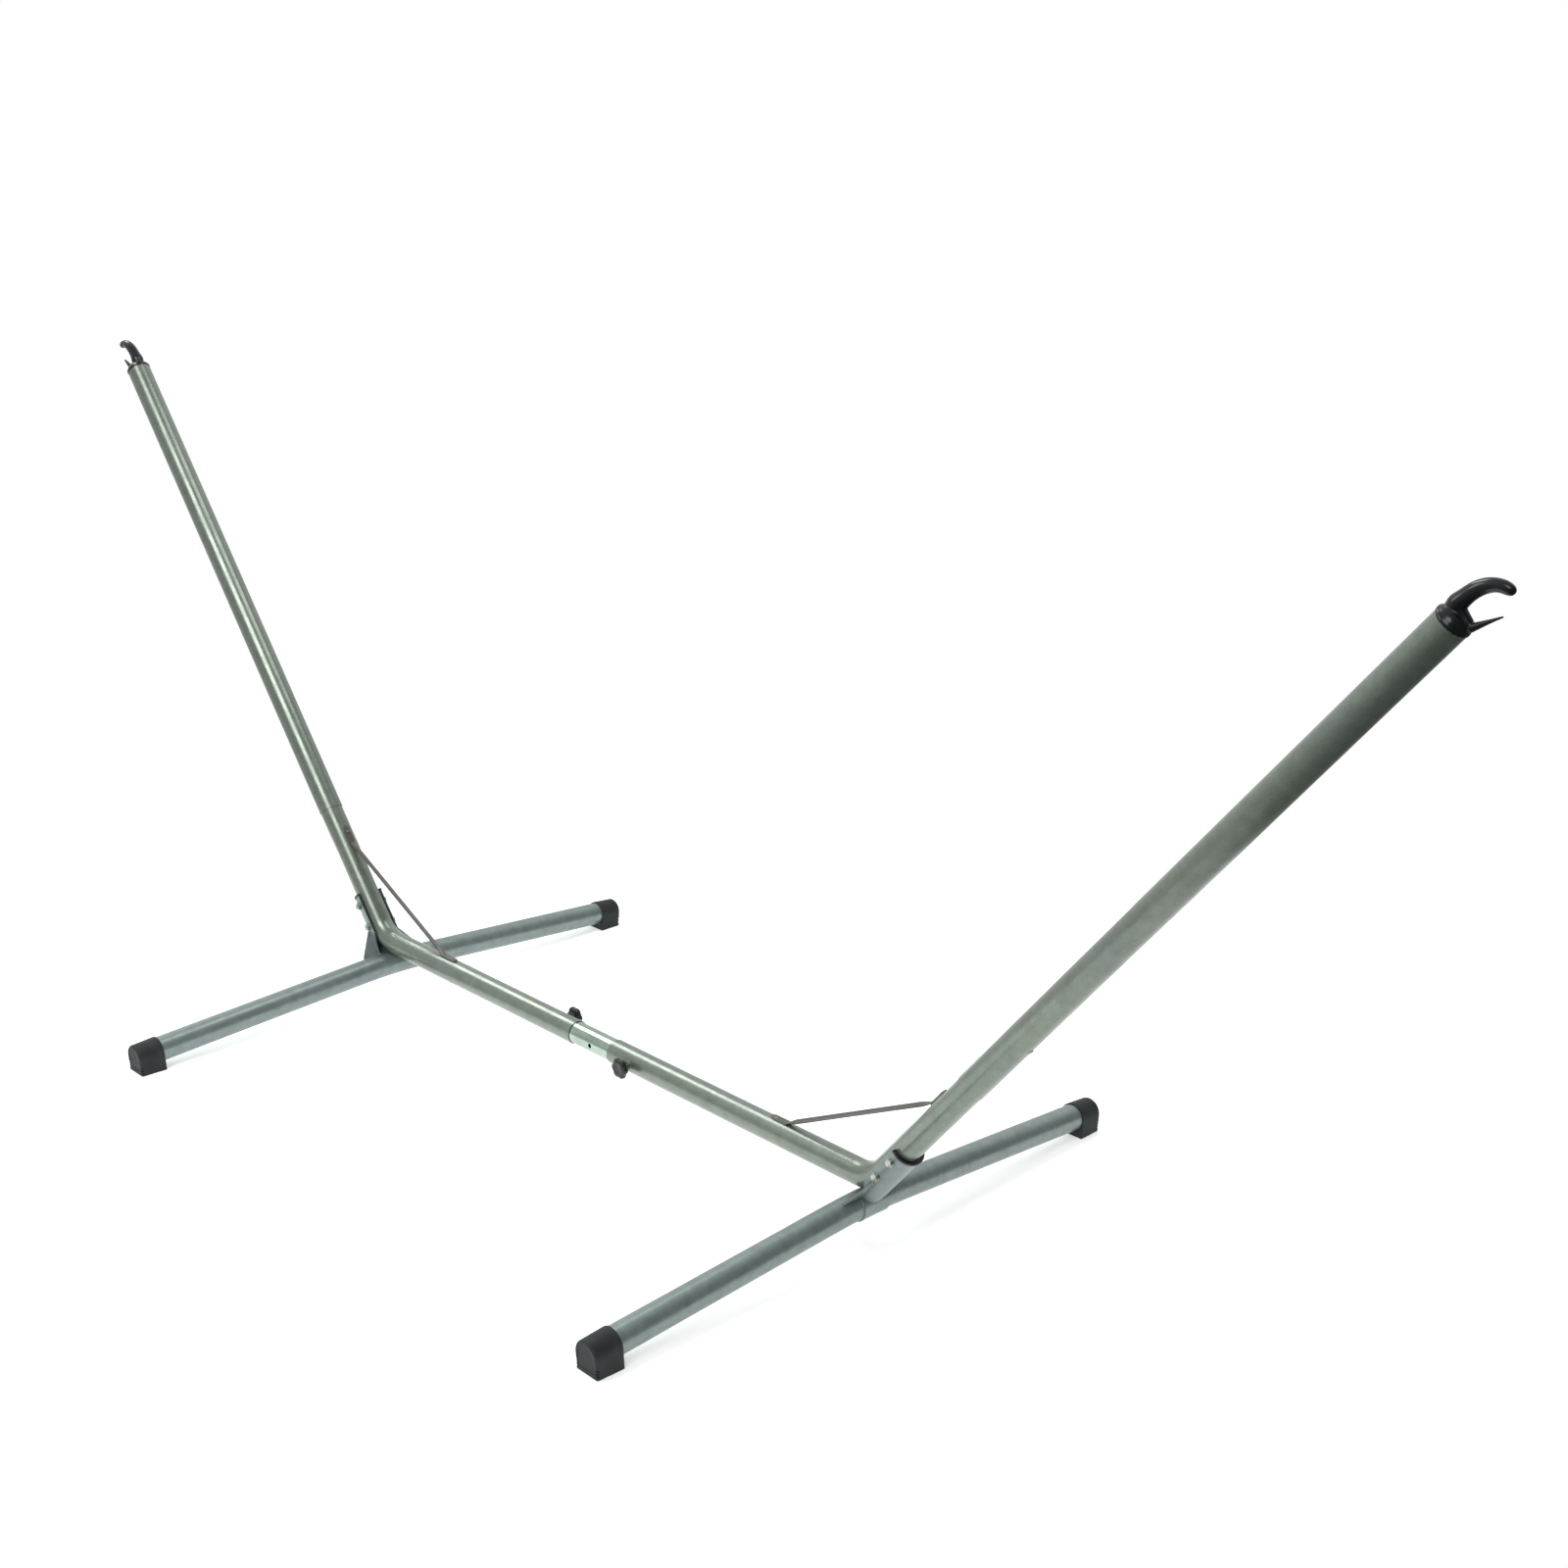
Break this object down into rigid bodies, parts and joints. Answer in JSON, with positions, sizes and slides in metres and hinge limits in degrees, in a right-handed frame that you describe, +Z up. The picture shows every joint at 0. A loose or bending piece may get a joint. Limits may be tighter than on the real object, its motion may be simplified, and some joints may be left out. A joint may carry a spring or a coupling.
{
  "type": "hammock stand",
  "caption": "Freestanding steel hammock stand: bent tube frames on arched feet, a sliding inner tube with clamp knobs, and plastic hooks at the arm tops.",
  "frame": {"origin": "on the floor, under the middle of the stand", "axes": "+X along the stand towards frame a, +Y across it, +Z up"},
  "size_m": [3.477, 1.227, 1.312],
  "materials": {
    "frame_powder_coat": "satin powder coat with a fine metallic grain",
    "foot_powder_coat": "satin powder coat with a fine metallic grain",
    "rod_coat": "satin",
    "zinc_tube": "bright zinc plating",
    "zinc_steel": "bright zinc plating",
    "rubber": "matt moulded",
    "black_plastic": "fine moulded grain",
    "hook_plastic": "semi-gloss moulded"
  },
  "bodies": {
    "frame_b": {"foot_tube_b": "foot_powder_coat", "foot_cap_left_b": "rubber", "foot_cap_right_b": "rubber", "saddle_b": "foot_powder_coat", "saddle_liner_b": "black_plastic", "saddle_gusset_left_b": "foot_powder_coat", "saddle_gusset_right_b": "foot_powder_coat", "saddle_bolts_b": "zinc_steel", "saddle_washers_b": "zinc_steel", "saddle_nuts_b": "zinc_steel", "base_tube_b": "frame_powder_coat", "brace_rod_b": "rod_coat", "brace_rivets_b": "rod_coat", "clamp_boss_b": "frame_powder_coat"},
    "inner_tube": {"slider_tube": "zinc_tube"},
    "frame_a": {"foot_tube_a": "foot_powder_coat", "foot_cap_left_a": "rubber", "foot_cap_right_a": "rubber", "saddle_a": "foot_powder_coat", "saddle_liner_a": "black_plastic", "saddle_gusset_left_a": "foot_powder_coat", "saddle_gusset_right_a": "foot_powder_coat", "saddle_bolts_a": "zinc_steel", "saddle_washers_a": "zinc_steel", "saddle_nuts_a": "zinc_steel", "base_tube_a": "frame_powder_coat", "brace_rod_a": "rod_coat", "brace_rivets_a": "rod_coat", "clamp_boss_a": "frame_powder_coat"},
    "arm_a": {"upper_arm_a": "frame_powder_coat", "arm_stop_rivet_a": "zinc_steel", "hook_a": "hook_plastic"},
    "nose_a": {"clamp_nose_a": "black_plastic"},
    "knob_a": {"clamp_screw_a": "zinc_steel", "clamp_knob_a": "black_plastic"},
    "arm_b": {"upper_arm_b": "frame_powder_coat", "arm_stop_rivet_b": "zinc_steel", "hook_b": "hook_plastic"},
    "nose_b": {"clamp_nose_b": "black_plastic"},
    "knob_b": {"clamp_screw_b": "zinc_steel", "clamp_knob_b": "black_plastic"}
  },
  "joints": [
    {"name": "extend_b", "type": "slide", "parent": "frame_b", "child": "inner_tube", "axis": [1, 0, 0], "range_m": [-0.058, 0.058]},
    {"name": "extend_a", "type": "slide", "parent": "inner_tube", "child": "frame_a", "axis": [1, 0, 0], "range_m": [-0.058, 0.058]},
    {"name": "lift_arm_a", "type": "slide", "parent": "frame_a", "child": "arm_a", "axis": [0.6347, 0, 0.7727], "range_m": [0, 0.14]},
    {"name": "clamp_a_travel", "type": "slide", "parent": "frame_a", "child": "nose_a", "axis": [0, 1, 0], "range_m": [0, 0.0044]},
    {"name": "clamp_a_turn", "type": "hinge", "parent": "nose_a", "child": "knob_a", "pos_m": [0.107, -0.045, 0.1162], "axis": [0, 1, 0], "range_deg": [0, 1267.5]},
    {"name": "lift_arm_b", "type": "slide", "parent": "frame_b", "child": "arm_b", "axis": [-0.6347, 0, 0.7727], "range_m": [0, 0.14]},
    {"name": "clamp_b_travel", "type": "slide", "parent": "frame_b", "child": "nose_b", "axis": [0, -1, 0], "range_m": [0, 0.0044]},
    {"name": "clamp_b_turn", "type": "hinge", "parent": "nose_b", "child": "knob_b", "pos_m": [-0.136, 0.045, 0.1162], "axis": [0, -1, 0], "range_deg": [0, 1267.5]}
  ],
  "couplings": [
    {"joint": "clamp_a_turn", "follows": "clamp_a_travel", "rad_per_m": 5026.5},
    {"joint": "clamp_b_turn", "follows": "clamp_b_travel", "rad_per_m": 5026.5}
  ]
}
